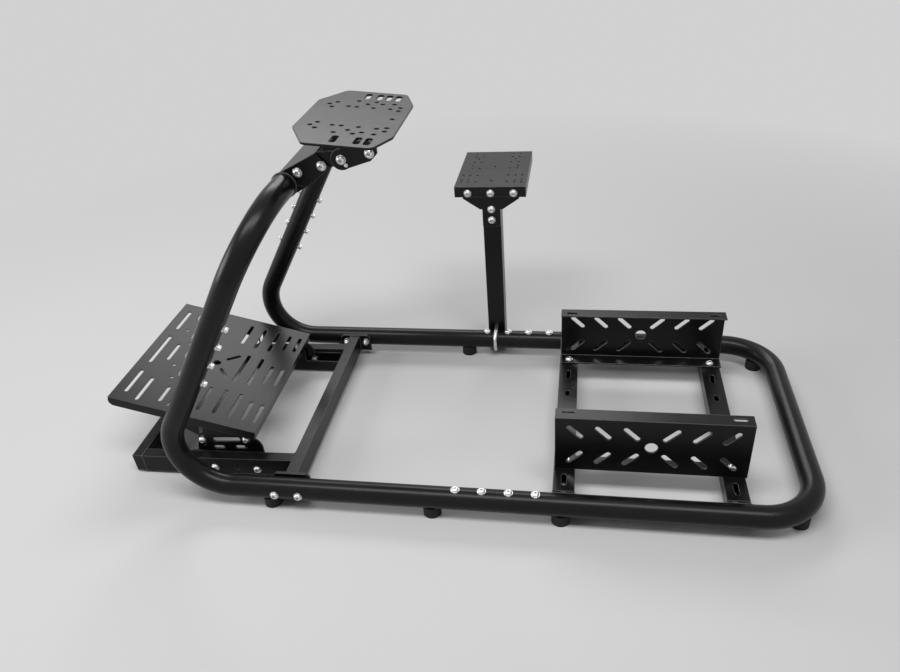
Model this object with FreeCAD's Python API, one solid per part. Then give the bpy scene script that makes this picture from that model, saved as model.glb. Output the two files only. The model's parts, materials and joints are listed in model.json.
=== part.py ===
import FreeCAD, Part
import math
import os

os.makedirs("parts", exist_ok=True)

# A seat-and-wheel cockpit for driving games. Millimetres, +Z up.
# The origin is on the floor, half way along the tubes and between the two side tubes.
# +X runs from the pedals to the seat end, +Y to the driver's right, where the shifter stands.

# Main round tube
TUBE_D = 42.0
TUBE_WALL = 2.0
TUBE_AXIS_Z = 40.0
SIDE_Y = 266.0
REAR_X = 664.0
REAR_BEND = 100.0
SPLICE_X = 99.0
SLEEVE_LENGTH = 190.0
SLEEVE_WALL = 2.0

# Leaning uprights and the crown that runs inward to the wheel mount
FRONT_CORNER_X = -582.4
FRONT_BEND = 97.0
UPRIGHT_LEAN = 30.7
CROWN_Z = 588.0
CROWN_BEND = 120.0
UPRIGHT_SPLICE_Z = 356.0
UPRIGHT_SLEEVE_LENGTH = 170.0
UPRIGHT_BOLTS = (-67.5, -20.9, 24.4, 67.5)
TUBE_BOLTS = (25.0, 74.0, 123.0, 172.0)

# Wheel mount
SHEET = 4.0
CROWN_END_Y = 99.0
CHEEK_Y = 95.0
FLANGE_R = 22.5
FLANGE_BOLTS = ((-229.0, 610.0), (-185.0, 621.0))
FLANGE_TOP = ((-262.0, 610.0), (-193.0, 643.0))
FLANGE_LOW = ((-214.0, 585.0), (-171.0, 617.0))
DECK_PIVOT = (-148.0, 633.0)
DECK_CLAMP = (-99.0, 643.0)
LOBE_R = 9.0
PIVOT_MARGIN = 12.0
CHEEK_FOOT_ANGLE = -56.0
EAR_GAP = 5.0
EAR_ROUND = 36.0
EAR_EDGE = 13.0
EAR_CORNER = 12.0
DECK_SWING = (6.0, 6.0)
M8_HOLE = 8.4
SPACER_D = 16.0

# Wheel plate
DECK_TILT = 6.0
DECK_CENTRE = (-147.0, 671.6)
DECK_LENGTH = 172.0
DECK_WIDTH = 286.0
DECK_SIDE = (-50.0, 64.0)
DECK_ENDS = (150.0, 170.0)
DECK_SHEET = 4.0
DECK_ROUND = 12.0
DECK_HOLE = 8.5
DECK_HOLES = ((-61.0, 58.0), (-52.6, 42.4), (-49.4, 70.4), (-24.5, 51.4), (-13.5, 84.7),
              (-9.4, 51.0), (6.6, 69.8), (19.0, 84.9), (20.3, 51.7), (32.0, 76.0),
              (51.0, 52.6), (53.0, 80.5), (67.0, 63.0), (67.0, 45.8))
DECK_CENTRE_HOLE = 66.2
DECK_SLOT = (11.0, 32.0)
DECK_SLOTS = (-4.0, 35.0, 52.0)
DECK_FAR_SLOT = 18.0
DECK_SLOT_ROW = 115.0

# Cross beam and the pedal frame that slopes down to the front from it, rectangular tube
BEAM_WIDE = 22.5
BEAM_REAR_X = -290.0
BEAM_TOP = 54.4
BEAM_TALL = 40.0
BEAM_LOW = BEAM_TOP - BEAM_TALL
BEAM_FRONT_X = BEAM_REAR_X - BEAM_WIDE
RECT_WALL = 2.0
END_PLATE = 5.0
END_PLATE_LENGTH = 74.0
END_PLATE_TOP = 57.0
END_PLATE_SHIFT = 0.8
END_PLATE_CHAMFER = 7.0
END_BOLT_PITCH = 47.0
END_BOLT_SHIFT = 2.8
RAIL_MARGIN = 26.7
RAIL_SLOPE = 1.6
PEDAL_FRAME_X = -660.0
RAIL_BOLTS = (-480.0, -389.5)
RAIL_HOLE = (-433.5, 7.0)
RAIL_BOLT_Z = 26.3
PAD_D = 18.0

# Pedal plate, its ears and the channels that carry them
PEDAL_TILT = 14.7
PEDAL_REAR = (-389.0, 98.9)
PEDAL_LENGTH = 306.0
PEDAL_WIDTH = 360.0
PEDAL_SHEET = 3.0
PEDAL_LIP = 20.0
LIP_ROUND = 12.0
LIP_RELIEF = 16.0
PEDAL_PIVOT = (-416.0, 74.0)
PEDAL_CLAMP = (-512.0, 68.2)
PEDAL_EAR_LOW = 40.0
PEDAL_EAR_TAIL = ((-391.0, 72.5), (-386.0, 65.0), (-384.0, 56.0))
PEDAL_EAR_FRONT = 120.5
PEDAL_EAR_DROP = 50.0
EAR_SLOTS = ((-458.9, 72.4, 11.0, 60.0), (-479.4, 51.4, 8.5, 23.0), (-430.7, 54.0, 8.5, 25.0))
EAR_SLOT_TILT = 3.6
PEDAL_EAR_TOP = 262.0
LIP_CLEAR = 1.5
PEDAL_SWING = (18.0, 6.0)
CHANNEL_FRONT_X = -548.0
CHANNEL_REAR_X = -322.0
CHANNEL_LOW = 5.0
CHANNEL_WIDE = 21.5
CHANNEL_SIDE_TOP = 45.0
CHANNEL_WEB_TOP = 31.5
PEDAL_GAP = 5.0
LUG_HALF = 12.0
PEDAL_SLOT_WIDE = 8.0
PEDAL_SLOT_ROWS = ((14.0, 30.0, 125.0, 28.0), (38.0, 31.5, 123.0, 29.0), (66.5, 48.0, 117.0, 38.0),
                   (98.0, 49.0, 116.0, 38.0), (131.0, 0.0, 118.0, 37.5), (210.0, 0.0, 133.0, 24.0),
                   (283.0, 50.0, 116.0, 37.0))
PEDAL_HALF_ROW = (253.0, 29.5)
PEDAL_NEAR_SLOTS = ((253.0, 131.5, 37.0), (187.0, 150.0, 15.0))
PEDAL_CENTRE_HOLE = (153.0, 16.0)
PEDAL_DIAGONAL = (127.0, 28.0)
DIAGONAL_LENGTH = 34.0
DIAGONAL_ANGLE = 45.0
PEDAL_ROUND_D = 7.0
PEDAL_ROUND = ((204.0, 80.0), (219.5, 80.0), (233.0, 40.5))
PEDAL_FAR_ROUND = (259.0, 83.5)

# Seat beams and seat brackets
SEAT_BEAM_X = (221.0, 525.0)
SEAT_BEAM_WIDE = 40.0
SEAT_BEAM_TOP = 54.4
SEAT_BEAM_TALL = 25.0
BEAM_SLOT = (9.0, 30.0)
BEAM_SLOT_ROWS = (112.0, 216.0)
BEAM_SHORT_SLOT = (10.0, 18.0)
BEAM_SHORT_ROW = 45.0
BRACKET_X = (203.0, 548.0)
BRACKET_Y = 186.7
BRACKET_TOP = 176.1
BRACKET_SHEET = 3.0
BRACKET_FLANGE = 28.0
BRACKET_FOOT = 34.0
BRACKET_BOLT_INSET = 12.0
WEB_SLOT = (9.5, 38.0)
WEB_SLOT_ANGLE = 44.0
WEB_SLOT_AT = (36.0, 86.5, 137.0, 206.5, 258.0, 309.0)
WEB_ROWS = (31.0, 90.5)
WEB_HOLE_D = 23.0
FLANGE_SLOT = (8.0, 24.0)
FLANGE_SLOT_INSET = 24.0
FLANGE_SLOT_SHIFT = 2.0

# Shifter stand
POST_X = 45.0
POST_SIDE = 40.0
POST_WALL = 2.0
POST_LOW = 8.0
SHIFTER_TOP = 425.0
POST_TOP = SHIFTER_TOP - 11.0
TEE_HALF = 62.0
TEE_NARROW_HALF = 25.0
TEE_TOP_Z = SHIFTER_TOP - 6.0
TEE_WIDE_Z = TEE_TOP_Z - 22.5
TEE_NARROW_Z = TEE_WIDE_Z - 25.5
TEE_LOW_Z = TEE_NARROW_Z - 41.0
TEE_BOLT_PITCH = 50.0
TEE_BOLT_Z = TEE_TOP_Z - 9.0
POST_BOLTS = (TEE_NARROW_Z, TEE_NARROW_Z - 25.5)
SHIFTER_X = (POST_X - 79.0, POST_X + 77.0)
SHIFTER_DEPTH = 215.0
SHIFTER_LIP = 24.0
SHIFTER_SHEET = 3.0
SHIFTER_HOLE = 7.0
SHIFTER_INNER = 34.5
SHIFTER_MIDDLE = 51.0
SHIFTER_OUTER = 66.0
SHIFTER_TWO = (SHIFTER_INNER, SHIFTER_MIDDLE)
SHIFTER_THREE = (SHIFTER_INNER, SHIFTER_MIDDLE, SHIFTER_OUTER)
SHIFTER_ROWS = ((29.0, SHIFTER_THREE), (42.0, (SHIFTER_MIDDLE, SHIFTER_OUTER)), (67.0, SHIFTER_THREE),
                (109.0, SHIFTER_TWO), (124.0, (SHIFTER_MIDDLE,)), (147.5, SHIFTER_TWO), (168.0, (43.0,)),
                (182.0, SHIFTER_TWO), (200.0, SHIFTER_TWO))
SHIFTER_SINGLES = (35.0, 119.0)
UBOLT_ROD = 8.0
UBOLT_TAIL = 14.0
UBOLT_BEND_SHARE = 0.98

# Feet
FOOT_D = 34.0
SIDE_FOOT_X = (-338.0, -22.0, 217.0)
FOOT_CUP = 4.0

OUTER_R = TUBE_D / 2
INNER_R = OUTER_R - TUBE_WALL
TUBE_LOW = TUBE_AXIS_Z - OUTER_R
PEDAL_FRAME_Y = PEDAL_WIDTH / 2 + RAIL_MARGIN
LEAN = math.radians(UPRIGHT_LEAN)
UP = FreeCAD.Vector(math.sin(LEAN), 0, math.cos(LEAN))
ACROSS = FreeCAD.Vector(math.cos(LEAN), 0, -math.sin(LEAN))
Z_AXIS = FreeCAD.Vector(0, 0, 1)
X_AXIS = FreeCAD.Vector(1, 0, 0)
Y_AXIS = FreeCAD.Vector(0, 1, 0)


def vec(x, y, z):
    return FreeCAD.Vector(x, y, z)


def box(x0, x1, y0, y1, z0, z1):
    """A box between two opposite corners, given in any order."""
    size = (abs(x1 - x0), abs(y1 - y0), abs(z1 - z0))
    return Part.makeBox(*size, vec(min(x0, x1), min(y0, y1), min(z0, z1)))


def mirror(shape):
    """The same piece on the other side of the middle plane."""
    return shape.mirror(vec(0, 0, 0), Y_AXIS)


def save(shape, name):
    if not shape.isValid():
        raise ValueError(f"{name} is not valid")
    shape.exportStep(f"parts/{name}.step")


def prism_y(outline, y0, y1):
    """A flat piece drawn in X and Z, running from y0 to y1."""
    corners = [vec(x, y0, z) for x, z in outline]
    face = Part.Face(Part.makePolygon(corners + corners[:1]))
    return face.extrude(vec(0, y1 - y0, 0))


def pin_y(x, z, diameter, y0, y1):
    return Part.makeCylinder(diameter / 2, abs(y1 - y0), vec(x, min(y0, y1), z), Y_AXIS)


def slot_z(x, y, width, length, z0, z1, along=90.0):
    """An upright cutter with round ends; its long axis is turned from X by the given angle."""
    half = (length - width) / 2
    radius = width / 2
    height = z1 - z0
    body = Part.makeBox(2 * half, width, height, vec(-half, -radius, 0))
    for side in (-half, half):
        body = body.fuse(Part.makeCylinder(radius, height, vec(side, 0, 0)))
    body = body.removeSplitter()
    body.rotate(vec(0, 0, 0), Z_AXIS, along)
    body.translate(vec(x, y, z0))
    return body


def fillet_corner(before, corner, after, radius):
    """The two tangent points and the middle point of the arc that rounds a corner."""
    a = (before - corner).normalize()
    b = (after - corner).normalize()
    half = a.getAngle(b) / 2
    reach = radius / math.tan(half)
    inward = (a + b).normalize()
    middle = corner + inward * (radius / math.sin(half) - radius)
    return corner + a * reach, middle, corner + b * reach


def bent_wire(points, radii):
    """A line through the points with each inner corner rounded."""
    edges = []
    start = points[0]
    for index, radius in enumerate(radii, start=1):
        enter, middle, leave = fillet_corner(points[index - 1], points[index], points[index + 1], radius)
        edges.append(Part.makeLine(start, enter))
        edges.append(Part.Arc(enter, middle, leave).toShape())
        start = leave
    edges.append(Part.makeLine(start, points[-1]))
    return Part.Wire(edges)


def swept(points, radii, radius):
    """A round bar of the given radius along a bent line."""
    direction = points[1] - points[0]
    ring = Part.Wire(Part.makeCircle(radius, points[0], direction))
    return bent_wire(points, radii).makePipeShell([ring], True, False)


def bent_tube(points, radii, outer=OUTER_R, wall=TUBE_WALL):
    return swept(points, radii, outer).cut(swept(points, radii, outer - wall))


def rect_tube_y(x0, x1, z0, z1, half_length, wall=RECT_WALL):
    """A rectangular tube that runs across the cockpit."""
    shell = box(x0, x1, -half_length, half_length, z0, z1)
    return shell.cut(box(x0 + wall, x1 - wall, -half_length, half_length, z0 + wall, z1 - wall))


def rect_tube_x(x0, x1, y0, y1, z0, z1, wall=RECT_WALL):
    """A rectangular tube that runs along the cockpit."""
    shell = box(x0, x1, y0, y1, z0, z1)
    low, high = min(y0, y1), max(y0, y1)
    return shell.cut(box(x0, x1, low + wall, high - wall, z0 + wall, z1 - wall))


def upright_point(z, y):
    """A point on the centre line of the upright at height z."""
    return vec(FRONT_CORNER_X + (z - TUBE_AXIS_Z) * math.tan(LEAN), y, z)


def crown_x():
    return upright_point(CROWN_Z, 0).x


def tube_bolt_holes():
    """Cutters for the four bolts that enter each side tube's top at its splice."""
    half = M8_HOLE / 2
    return [Part.makeCylinder(half, OUTER_R, vec(x, side * SIDE_Y, TUBE_AXIS_Z))
            for x in TUBE_BOLTS for side in (-1, 1)]


def upright_bolt_holes():
    """Cutters for the four bolts through the left upright at its splice."""
    middle = upright_point(UPRIGHT_SPLICE_Z, -SIDE_Y)
    return [Part.makeCylinder(M8_HOLE / 2, TUBE_D, middle + UP * along - ACROSS * OUTER_R, ACROSS)
            for along in UPRIGHT_BOLTS]


def rear_loop():
    """The U-shaped rear tube with its two long legs."""
    points = [vec(SPLICE_X, -SIDE_Y, TUBE_AXIS_Z), vec(REAR_X, -SIDE_Y, TUBE_AXIS_Z),
              vec(REAR_X, SIDE_Y, TUBE_AXIS_Z), vec(SPLICE_X, SIDE_Y, TUBE_AXIS_Z)]
    return bent_tube(points, [REAR_BEND, REAR_BEND]).cut(tube_bolt_holes())


def front_tube():
    """The left front tube: along the floor, round the front bend and up to the upright's splice."""
    points = [vec(SPLICE_X, -SIDE_Y, TUBE_AXIS_Z), vec(FRONT_CORNER_X, -SIDE_Y, TUBE_AXIS_Z),
              upright_point(UPRIGHT_SPLICE_Z, -SIDE_Y)]
    return bent_tube(points, [FRONT_BEND]).cut(tube_bolt_holes() + upright_bolt_holes())


def upright_tube():
    """The left upper tube: up from the splice, then round the crown bend to the wheel mount."""
    points = [upright_point(UPRIGHT_SPLICE_Z, -SIDE_Y), upright_point(CROWN_Z, -SIDE_Y),
              vec(crown_x(), -CROWN_END_Y, CROWN_Z)]
    return bent_tube(points, [CROWN_BEND]).cut(upright_bolt_holes())


def sleeve(start, direction, length):
    """A round liner that fits inside the main tube."""
    outer = Part.makeCylinder(INNER_R, length, start, direction)
    return outer.cut(Part.makeCylinder(INNER_R - SLEEVE_WALL, length, start, direction))


def side_sleeve():
    """The liner that joins the rear loop to the left front tube."""
    start = vec(SPLICE_X - SLEEVE_LENGTH / 2, -SIDE_Y, TUBE_AXIS_Z)
    return sleeve(start, X_AXIS, SLEEVE_LENGTH).cut(tube_bolt_holes())


def upright_sleeve():
    """The liner inside the splice of the left upright."""
    start = upright_point(UPRIGHT_SPLICE_Z, -SIDE_Y) - UP * (UPRIGHT_SLEEVE_LENGTH / 2)
    return sleeve(start, UP, UPRIGHT_SLEEVE_LENGTH).cut(upright_bolt_holes())


def crown_flange():
    """The flat plate welded to the left crown tube's end, with the two bolts to the saddle."""
    y0, y1 = -CROWN_END_Y, -CHEEK_Y
    hub = pin_y(crown_x(), CROWN_Z, 2 * FLANGE_R, y0, y1)
    wing = prism_y([FLANGE_TOP[0], FLANGE_TOP[1], FLANGE_LOW[1], FLANGE_LOW[0], (crown_x(), CROWN_Z)], y0, y1)
    plate = hub.fuse(wing).removeSplitter()
    for x, z in FLANGE_BOLTS:
        plate = plate.cut(pin_y(x, z, M8_HOLE, y0, y1))
    return plate


def saddle_side():
    """The left cheek of the saddle, reaching back to the lobe that takes the clamp bolt."""
    y0, y1 = -CHEEK_Y, -CHEEK_Y + SHEET
    pivot_x, pivot_z = DECK_PIVOT
    clamp_x, clamp_z = DECK_CLAMP
    turn = math.radians(CHEEK_FOOT_ANGLE)
    foot = (crown_x() + FLANGE_R * math.cos(turn), CROWN_Z + FLANGE_R * math.sin(turn))
    outline = [FLANGE_TOP[0], FLANGE_TOP[1], (pivot_x, pivot_z + PIVOT_MARGIN), (clamp_x, clamp_z + LOBE_R),
               (clamp_x, clamp_z - LOBE_R), (pivot_x, pivot_z - PIVOT_MARGIN),
               FLANGE_LOW[1], FLANGE_LOW[0], foot]
    cheek = prism_y(outline, y0, y1).fuse(pin_y(*DECK_CLAMP, 2 * LOBE_R, y0, y1)).removeSplitter()
    for x, z in (*FLANGE_BOLTS, DECK_PIVOT, DECK_CLAMP):
        cheek = cheek.cut(pin_y(x, z, M8_HOLE, y0, y1))
    return cheek


def wheel_saddle():
    """The folded saddle between the two crown tubes: a sloping web and two cheeks."""
    (x0, z0), (x1, z1) = FLANGE_TOP
    slope = math.atan2(z1 - z0, x1 - x0)
    down = (math.sin(slope) * SHEET, -math.cos(slope) * SHEET)
    outline = [(x0, z0), (x1, z1), (x1 + down[0], z1 + down[1]), (x0 + down[0], z0 + down[1])]
    web = prism_y(outline, -CHEEK_Y, CHEEK_Y)
    left = saddle_side()
    return web.fuse([left, mirror(left)]).removeSplitter()


def deck_under(x):
    """Height of the wheel plate's underside at x."""
    tilt = math.radians(DECK_TILT)
    return DECK_CENTRE[1] - (x - DECK_CENTRE[0]) * math.tan(tilt) - DECK_SHEET / math.cos(tilt)


def deck_ear():
    """The left ear under the wheel plate, hung on the pivot bolt and held by the clamp bolt."""
    y1 = -CHEEK_Y - EAR_GAP
    y0 = y1 - SHEET
    pivot_x, pivot_z = DECK_PIVOT
    clamp_x, clamp_z = DECK_CLAMP
    rear = clamp_x + EAR_EDGE
    outline = [(pivot_x, pivot_z), (pivot_x, deck_under(pivot_x)), (rear, deck_under(rear)),
               (rear, clamp_z - EAR_EDGE + EAR_CORNER), (rear - EAR_CORNER, clamp_z - EAR_EDGE),
               (pivot_x, pivot_z - EAR_ROUND / 2)]
    ear = prism_y(outline, y0, y1).fuse(pin_y(pivot_x, pivot_z, EAR_ROUND, y0, y1)).removeSplitter()
    ear = ear.cut(pin_y(pivot_x, pivot_z, M8_HOLE, y0, y1))
    return ear.cut(arc_slot(DECK_PIVOT, DECK_CLAMP, DECK_SWING, M8_HOLE, y0, y1))


def arc_slot(pivot, bolt, swing, width, y0, y1):
    """A curved slot about the pivot that lets the bolt pass as the piece swings by the two angles."""
    reach = math.hypot(bolt[0] - pivot[0], bolt[1] - pivot[1])
    start = math.atan2(bolt[1] - pivot[1], bolt[0] - pivot[0])
    low, high = start - math.radians(swing[0]), start + math.radians(swing[1])
    middle = (low + high) / 2
    at = vec(pivot[0], y0, pivot[1])

    def point(radius, angle):
        return at + vec(radius * math.cos(angle), 0, radius * math.sin(angle))

    inner, outer = reach - width / 2, reach + width / 2
    edges = [Part.Arc(point(inner, low), point(inner, middle), point(inner, high)).toShape(),
             Part.makeLine(point(inner, high), point(outer, high)),
             Part.Arc(point(outer, high), point(outer, middle), point(outer, low)).toShape(),
             Part.makeLine(point(outer, low), point(inner, low))]
    cutter = Part.Face(Part.Wire(edges)).extrude(vec(0, y1 - y0, 0))
    ends = [Part.makeCylinder(width / 2, y1 - y0, point(reach, angle), Y_AXIS) for angle in (low, high)]
    return cutter.fuse(ends)


def deck_cutters():
    """Cutters for the wheel plate's round holes and slots, about its middle."""
    at = [(x, side * y) for x, y in DECK_HOLES for side in (-1, 1)] + [(DECK_CENTRE_HOLE, 0)]
    cutters = [Part.makeCylinder(DECK_HOLE / 2, DECK_SHEET, vec(x, y, -DECK_SHEET)) for x, y in at]
    slots = [(x, side * DECK_SLOT_ROW) for x in DECK_SLOTS for side in (-1, 1)]
    for x, y in slots + [(DECK_FAR_SLOT, DECK_SLOT_ROW)]:
        cutters.append(slot_z(x, y, *DECK_SLOT, -DECK_SHEET, 0))
    return cutters


def wheel_plate():
    """The eight-sided wheel plate with its hole pattern, tilted toward the driver."""
    half, wide = DECK_LENGTH / 2, DECK_WIDTH / 2
    front, rear = DECK_ENDS[0] / 2, DECK_ENDS[1] / 2
    near, far = DECK_SIDE
    outline = [(-half, 0), (-half, -front), (near, -wide), (far, -wide), (half, -rear),
               (half, rear), (far, wide), (near, wide), (-half, front), (-half, 0)]
    corners = [vec(x, y, -DECK_SHEET) for x, y in outline]
    edge = bent_wire(corners, [DECK_ROUND] * (len(corners) - 2))
    plate = Part.Face(edge).extrude(vec(0, 0, DECK_SHEET)).removeSplitter()
    plate = plate.cut(deck_cutters())
    plate.rotate(vec(0, 0, 0), Y_AXIS, DECK_TILT)
    plate.translate(vec(DECK_CENTRE[0], 0, DECK_CENTRE[1]))
    return plate


def spacers(pivot, clamp, inner_y, gap):
    """Rings on the pivot bolts and the clamp bolts that keep the ears off what carries them."""
    rings = []
    for x, z in (pivot, clamp):
        ring = pin_y(x, z, SPACER_D, -inner_y - gap, -inner_y)
        rings.append(ring.cut(pin_y(x, z, M8_HOLE, -inner_y - gap, -inner_y)))
    left = Part.makeCompound(rings)
    return Part.makeCompound([left, mirror(left)])


def front_beam():
    """The cross beam behind the pedals, between its two end plates."""
    half = SIDE_Y - OUTER_R - END_PLATE
    return rect_tube_y(BEAM_FRONT_X, BEAM_REAR_X, BEAM_LOW, BEAM_TOP, half)


def beam_end_plates():
    """The plates on the beam's ends, each bolted through its side tube."""
    middle = BEAM_REAR_X - BEAM_WIDE / 2
    x0 = middle + END_PLATE_SHIFT - END_PLATE_LENGTH / 2
    x1 = x0 + END_PLATE_LENGTH
    y0 = -SIDE_Y + OUTER_R
    shoulder = END_PLATE_TOP - END_PLATE_CHAMFER
    outline = [(x0, BEAM_LOW), (x1, BEAM_LOW), (x1, shoulder), (x1 - END_PLATE_CHAMFER, END_PLATE_TOP),
               (x0 + END_PLATE_CHAMFER, END_PLATE_TOP), (x0, shoulder)]
    plate = prism_y(outline, y0, y0 + END_PLATE)
    for side in (-0.5, 0.5):
        x = middle + END_BOLT_SHIFT + side * END_BOLT_PITCH
        plate = plate.cut(pin_y(x, TUBE_AXIS_Z, M8_HOLE, y0, y0 + END_PLATE))
    return Part.makeCompound([plate, mirror(plate)])


def rail_cutters(y0, y1):
    """Cutters for the bolts that hold the channel on the rail, and for the plain hole between them."""
    bolts = [pin_y(x, RAIL_BOLT_Z, M8_HOLE, y0, y1) for x in RAIL_BOLTS]
    return bolts + [pin_y(RAIL_HOLE[0], RAIL_BOLT_Z, RAIL_HOLE[1], y0, y1)]


def sloped(shape):
    """The same piece turned down toward the front about the front top edge of the cross beam."""
    turned = shape.copy()
    turned.rotate(vec(BEAM_FRONT_X, 0, BEAM_TOP), Y_AXIS, -RAIL_SLOPE)
    return turned


def frame_rail():
    """The left rail of the pedal frame, its rear end cut square to meet the cross beam."""
    y0, y1 = -PEDAL_FRAME_Y, -PEDAL_FRAME_Y + BEAM_WIDE
    rail = sloped(rect_tube_x(PEDAL_FRAME_X + BEAM_WIDE, BEAM_REAR_X, y0, y1, BEAM_LOW, BEAM_TOP))
    rail = rail.cut(box(BEAM_FRONT_X, BEAM_REAR_X + BEAM_WIDE, y0, y1, 0, BEAM_TOP + BEAM_TALL))
    return rail.cut(rail_cutters(y0, y1))


def frame_front_bar():
    """The front bar of the pedal frame, with its two ends closed."""
    x1 = PEDAL_FRAME_X + BEAM_WIDE - RECT_WALL
    reach = PEDAL_FRAME_Y - RECT_WALL
    inside = box(PEDAL_FRAME_X + RECT_WALL, x1, -reach, reach, BEAM_LOW + RECT_WALL, BEAM_TOP - RECT_WALL)
    return front_bar_block().cut(sloped(inside))


def front_bar_block():
    """The front bar as a solid block."""
    x1 = PEDAL_FRAME_X + BEAM_WIDE
    return sloped(box(PEDAL_FRAME_X, x1, -PEDAL_FRAME_Y, PEDAL_FRAME_Y, BEAM_LOW, BEAM_TOP))


def channel_y():
    """The outer face of the left pedal channel, against the rail."""
    return -PEDAL_FRAME_Y + BEAM_WIDE


def pedal_channel():
    """The left channel bolted to the rail's inner side: two lugs on its web carry the pedal plate's ear."""
    y0 = channel_y()
    y1 = y0 + CHANNEL_WIDE
    side = box(CHANNEL_FRONT_X, CHANNEL_REAR_X, y0, y0 + PEDAL_SHEET, CHANNEL_LOW, CHANNEL_SIDE_TOP)
    floor = box(CHANNEL_FRONT_X, CHANNEL_REAR_X, y0, y1, CHANNEL_LOW, CHANNEL_LOW + PEDAL_SHEET)
    web_y = y1 - PEDAL_SHEET
    web = box(CHANNEL_FRONT_X, CHANNEL_REAR_X, web_y, y1, CHANNEL_LOW, CHANNEL_WEB_TOP)
    lugs = []
    for x, z in (PEDAL_PIVOT, PEDAL_CLAMP):
        lugs.append(box(x - LUG_HALF, x + LUG_HALF, web_y, y1, CHANNEL_LOW, z))
        lugs.append(pin_y(x, z, 2 * LUG_HALF, web_y, y1))
    channel = side.fuse([floor, web] + lugs).removeSplitter().cut(rail_cutters(y0, y0 + PEDAL_SHEET))
    for x, z in (PEDAL_PIVOT, PEDAL_CLAMP):
        channel = channel.cut(pin_y(x, z, M8_HOLE, web_y, y1))
    return channel


def ear_slots(y1):
    """Cutters for the three lightening slots in the left ear."""
    cutters = []
    for x, z, wide, length in EAR_SLOTS:
        cutter = slot_z(0, 0, wide, length, 0, CHANNEL_WIDE, EAR_SLOT_TILT)
        cutter.rotate(vec(0, 0, 0), X_AXIS, 90)
        cutter.translate(vec(x, y1, z))
        cutters.append(cutter)
    return cutters


def pedal_point(along, drop=0.0):
    """X and Z of a point on the pedal plate, measured up its slope and square below its top."""
    tilt = math.radians(PEDAL_TILT)
    x = PEDAL_REAR[0] - along * math.cos(tilt) - drop * math.sin(tilt)
    z = PEDAL_REAR[1] + along * math.sin(tilt) - drop * math.cos(tilt)
    return x, z


def pedal_ear():
    """The left ear under the pedal plate, with the pivot hole and the clamp slot."""
    y1 = channel_y() + CHANNEL_WIDE - PEDAL_SHEET - PEDAL_GAP
    y0 = y1 - PEDAL_SHEET
    behind_lip = PEDAL_SHEET + LIP_CLEAR
    nose = pedal_point(PEDAL_EAR_FRONT, PEDAL_EAR_DROP)
    low_x = nose[0] - (nose[1] - PEDAL_EAR_LOW) * math.tan(math.radians(PEDAL_TILT))
    outline = [pedal_point(PEDAL_EAR_TOP, PEDAL_SHEET), pedal_point(behind_lip, PEDAL_SHEET),
               pedal_point(behind_lip, PEDAL_LIP + LIP_CLEAR), *PEDAL_EAR_TAIL,
               (PEDAL_EAR_TAIL[-1][0], PEDAL_EAR_LOW), (low_x, PEDAL_EAR_LOW), nose]
    ear = prism_y(outline, y0, y1)
    ear = ear.cut(ear_slots(y1))
    ear = ear.cut(pin_y(*PEDAL_PIVOT, M8_HOLE, y0, y1))
    return ear.cut(arc_slot(PEDAL_PIVOT, PEDAL_CLAMP, PEDAL_SWING, M8_HOLE, y0, y1))


def pedal_plate():
    """The pedal plate: flat top with folded edges, cut with slots for the pedals."""
    plate = box(-PEDAL_LENGTH, 0, -PEDAL_WIDTH / 2, PEDAL_WIDTH / 2, -PEDAL_LIP, 0)
    hollow = box(-PEDAL_LENGTH + PEDAL_SHEET, -PEDAL_SHEET, -PEDAL_WIDTH / 2 + PEDAL_SHEET,
                 PEDAL_WIDTH / 2 - PEDAL_SHEET, -PEDAL_LIP, -PEDAL_SHEET)
    plate = plate.cut(hollow)
    plate = plate.cut(pedal_cutters()).cut(lip_cutters())
    plate.rotate(vec(0, 0, 0), Y_AXIS, PEDAL_TILT)
    plate.translate(vec(PEDAL_REAR[0], 0, PEDAL_REAR[1]))
    return plate


def lip_cutters():
    """Cutters that end the front lip short of the side lips and round the side lips' front corners."""
    low, front = -PEDAL_LIP, -PEDAL_LENGTH
    cutters = []
    for side in (-1, 1):
        out = side * PEDAL_WIDTH / 2
        inner, relief = out - side * PEDAL_SHEET, out - side * LIP_RELIEF
        corner = box(front, front + LIP_ROUND, inner, out, low, low + LIP_ROUND)
        round_part = pin_y(front + LIP_ROUND, low + LIP_ROUND, 2 * LIP_ROUND, *sorted((inner, out)))
        cutters.append(corner.cut(round_part))
        cutters.append(box(front, front + PEDAL_SHEET, relief, inner, low, -PEDAL_SHEET))
    return cutters


def pedal_cutters():
    """Cutters for the pedal plate's slots and round holes."""
    low = -PEDAL_SHEET
    along, half = PEDAL_HALF_ROW
    cutters = [slot_z(-along, 0, PEDAL_SLOT_WIDE, 2 * half, low, 0)]
    for along, out, half in PEDAL_NEAR_SLOTS:
        cutters.append(slot_z(-along, -out, PEDAL_SLOT_WIDE, 2 * half, low, 0))
    for along, inner, outer, half in PEDAL_SLOT_ROWS:
        if inner:
            cutters.append(slot_z(-along, 0, PEDAL_SLOT_WIDE, 2 * inner, low, 0))
        for side in (-1, 1):
            cutters.append(slot_z(-along, side * outer, PEDAL_SLOT_WIDE, 2 * half, low, 0))
    for along, y in [(along, side * y) for along, y in PEDAL_ROUND for side in (-1, 1)] + [PEDAL_FAR_ROUND]:
        cutters.append(Part.makeCylinder(PEDAL_ROUND_D / 2, PEDAL_SHEET, vec(-along, y, low)))
    along, diameter = PEDAL_CENTRE_HOLE
    cutters.append(Part.makeCylinder(diameter / 2, PEDAL_SHEET, vec(-along, 0, low)))
    along, out = PEDAL_DIAGONAL
    for side in (-1, 1):
        turn = side * DIAGONAL_ANGLE
        cutters.append(slot_z(-along, side * out, PEDAL_SLOT_WIDE, DIAGONAL_LENGTH, low, 0, turn))
    return cutters


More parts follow.
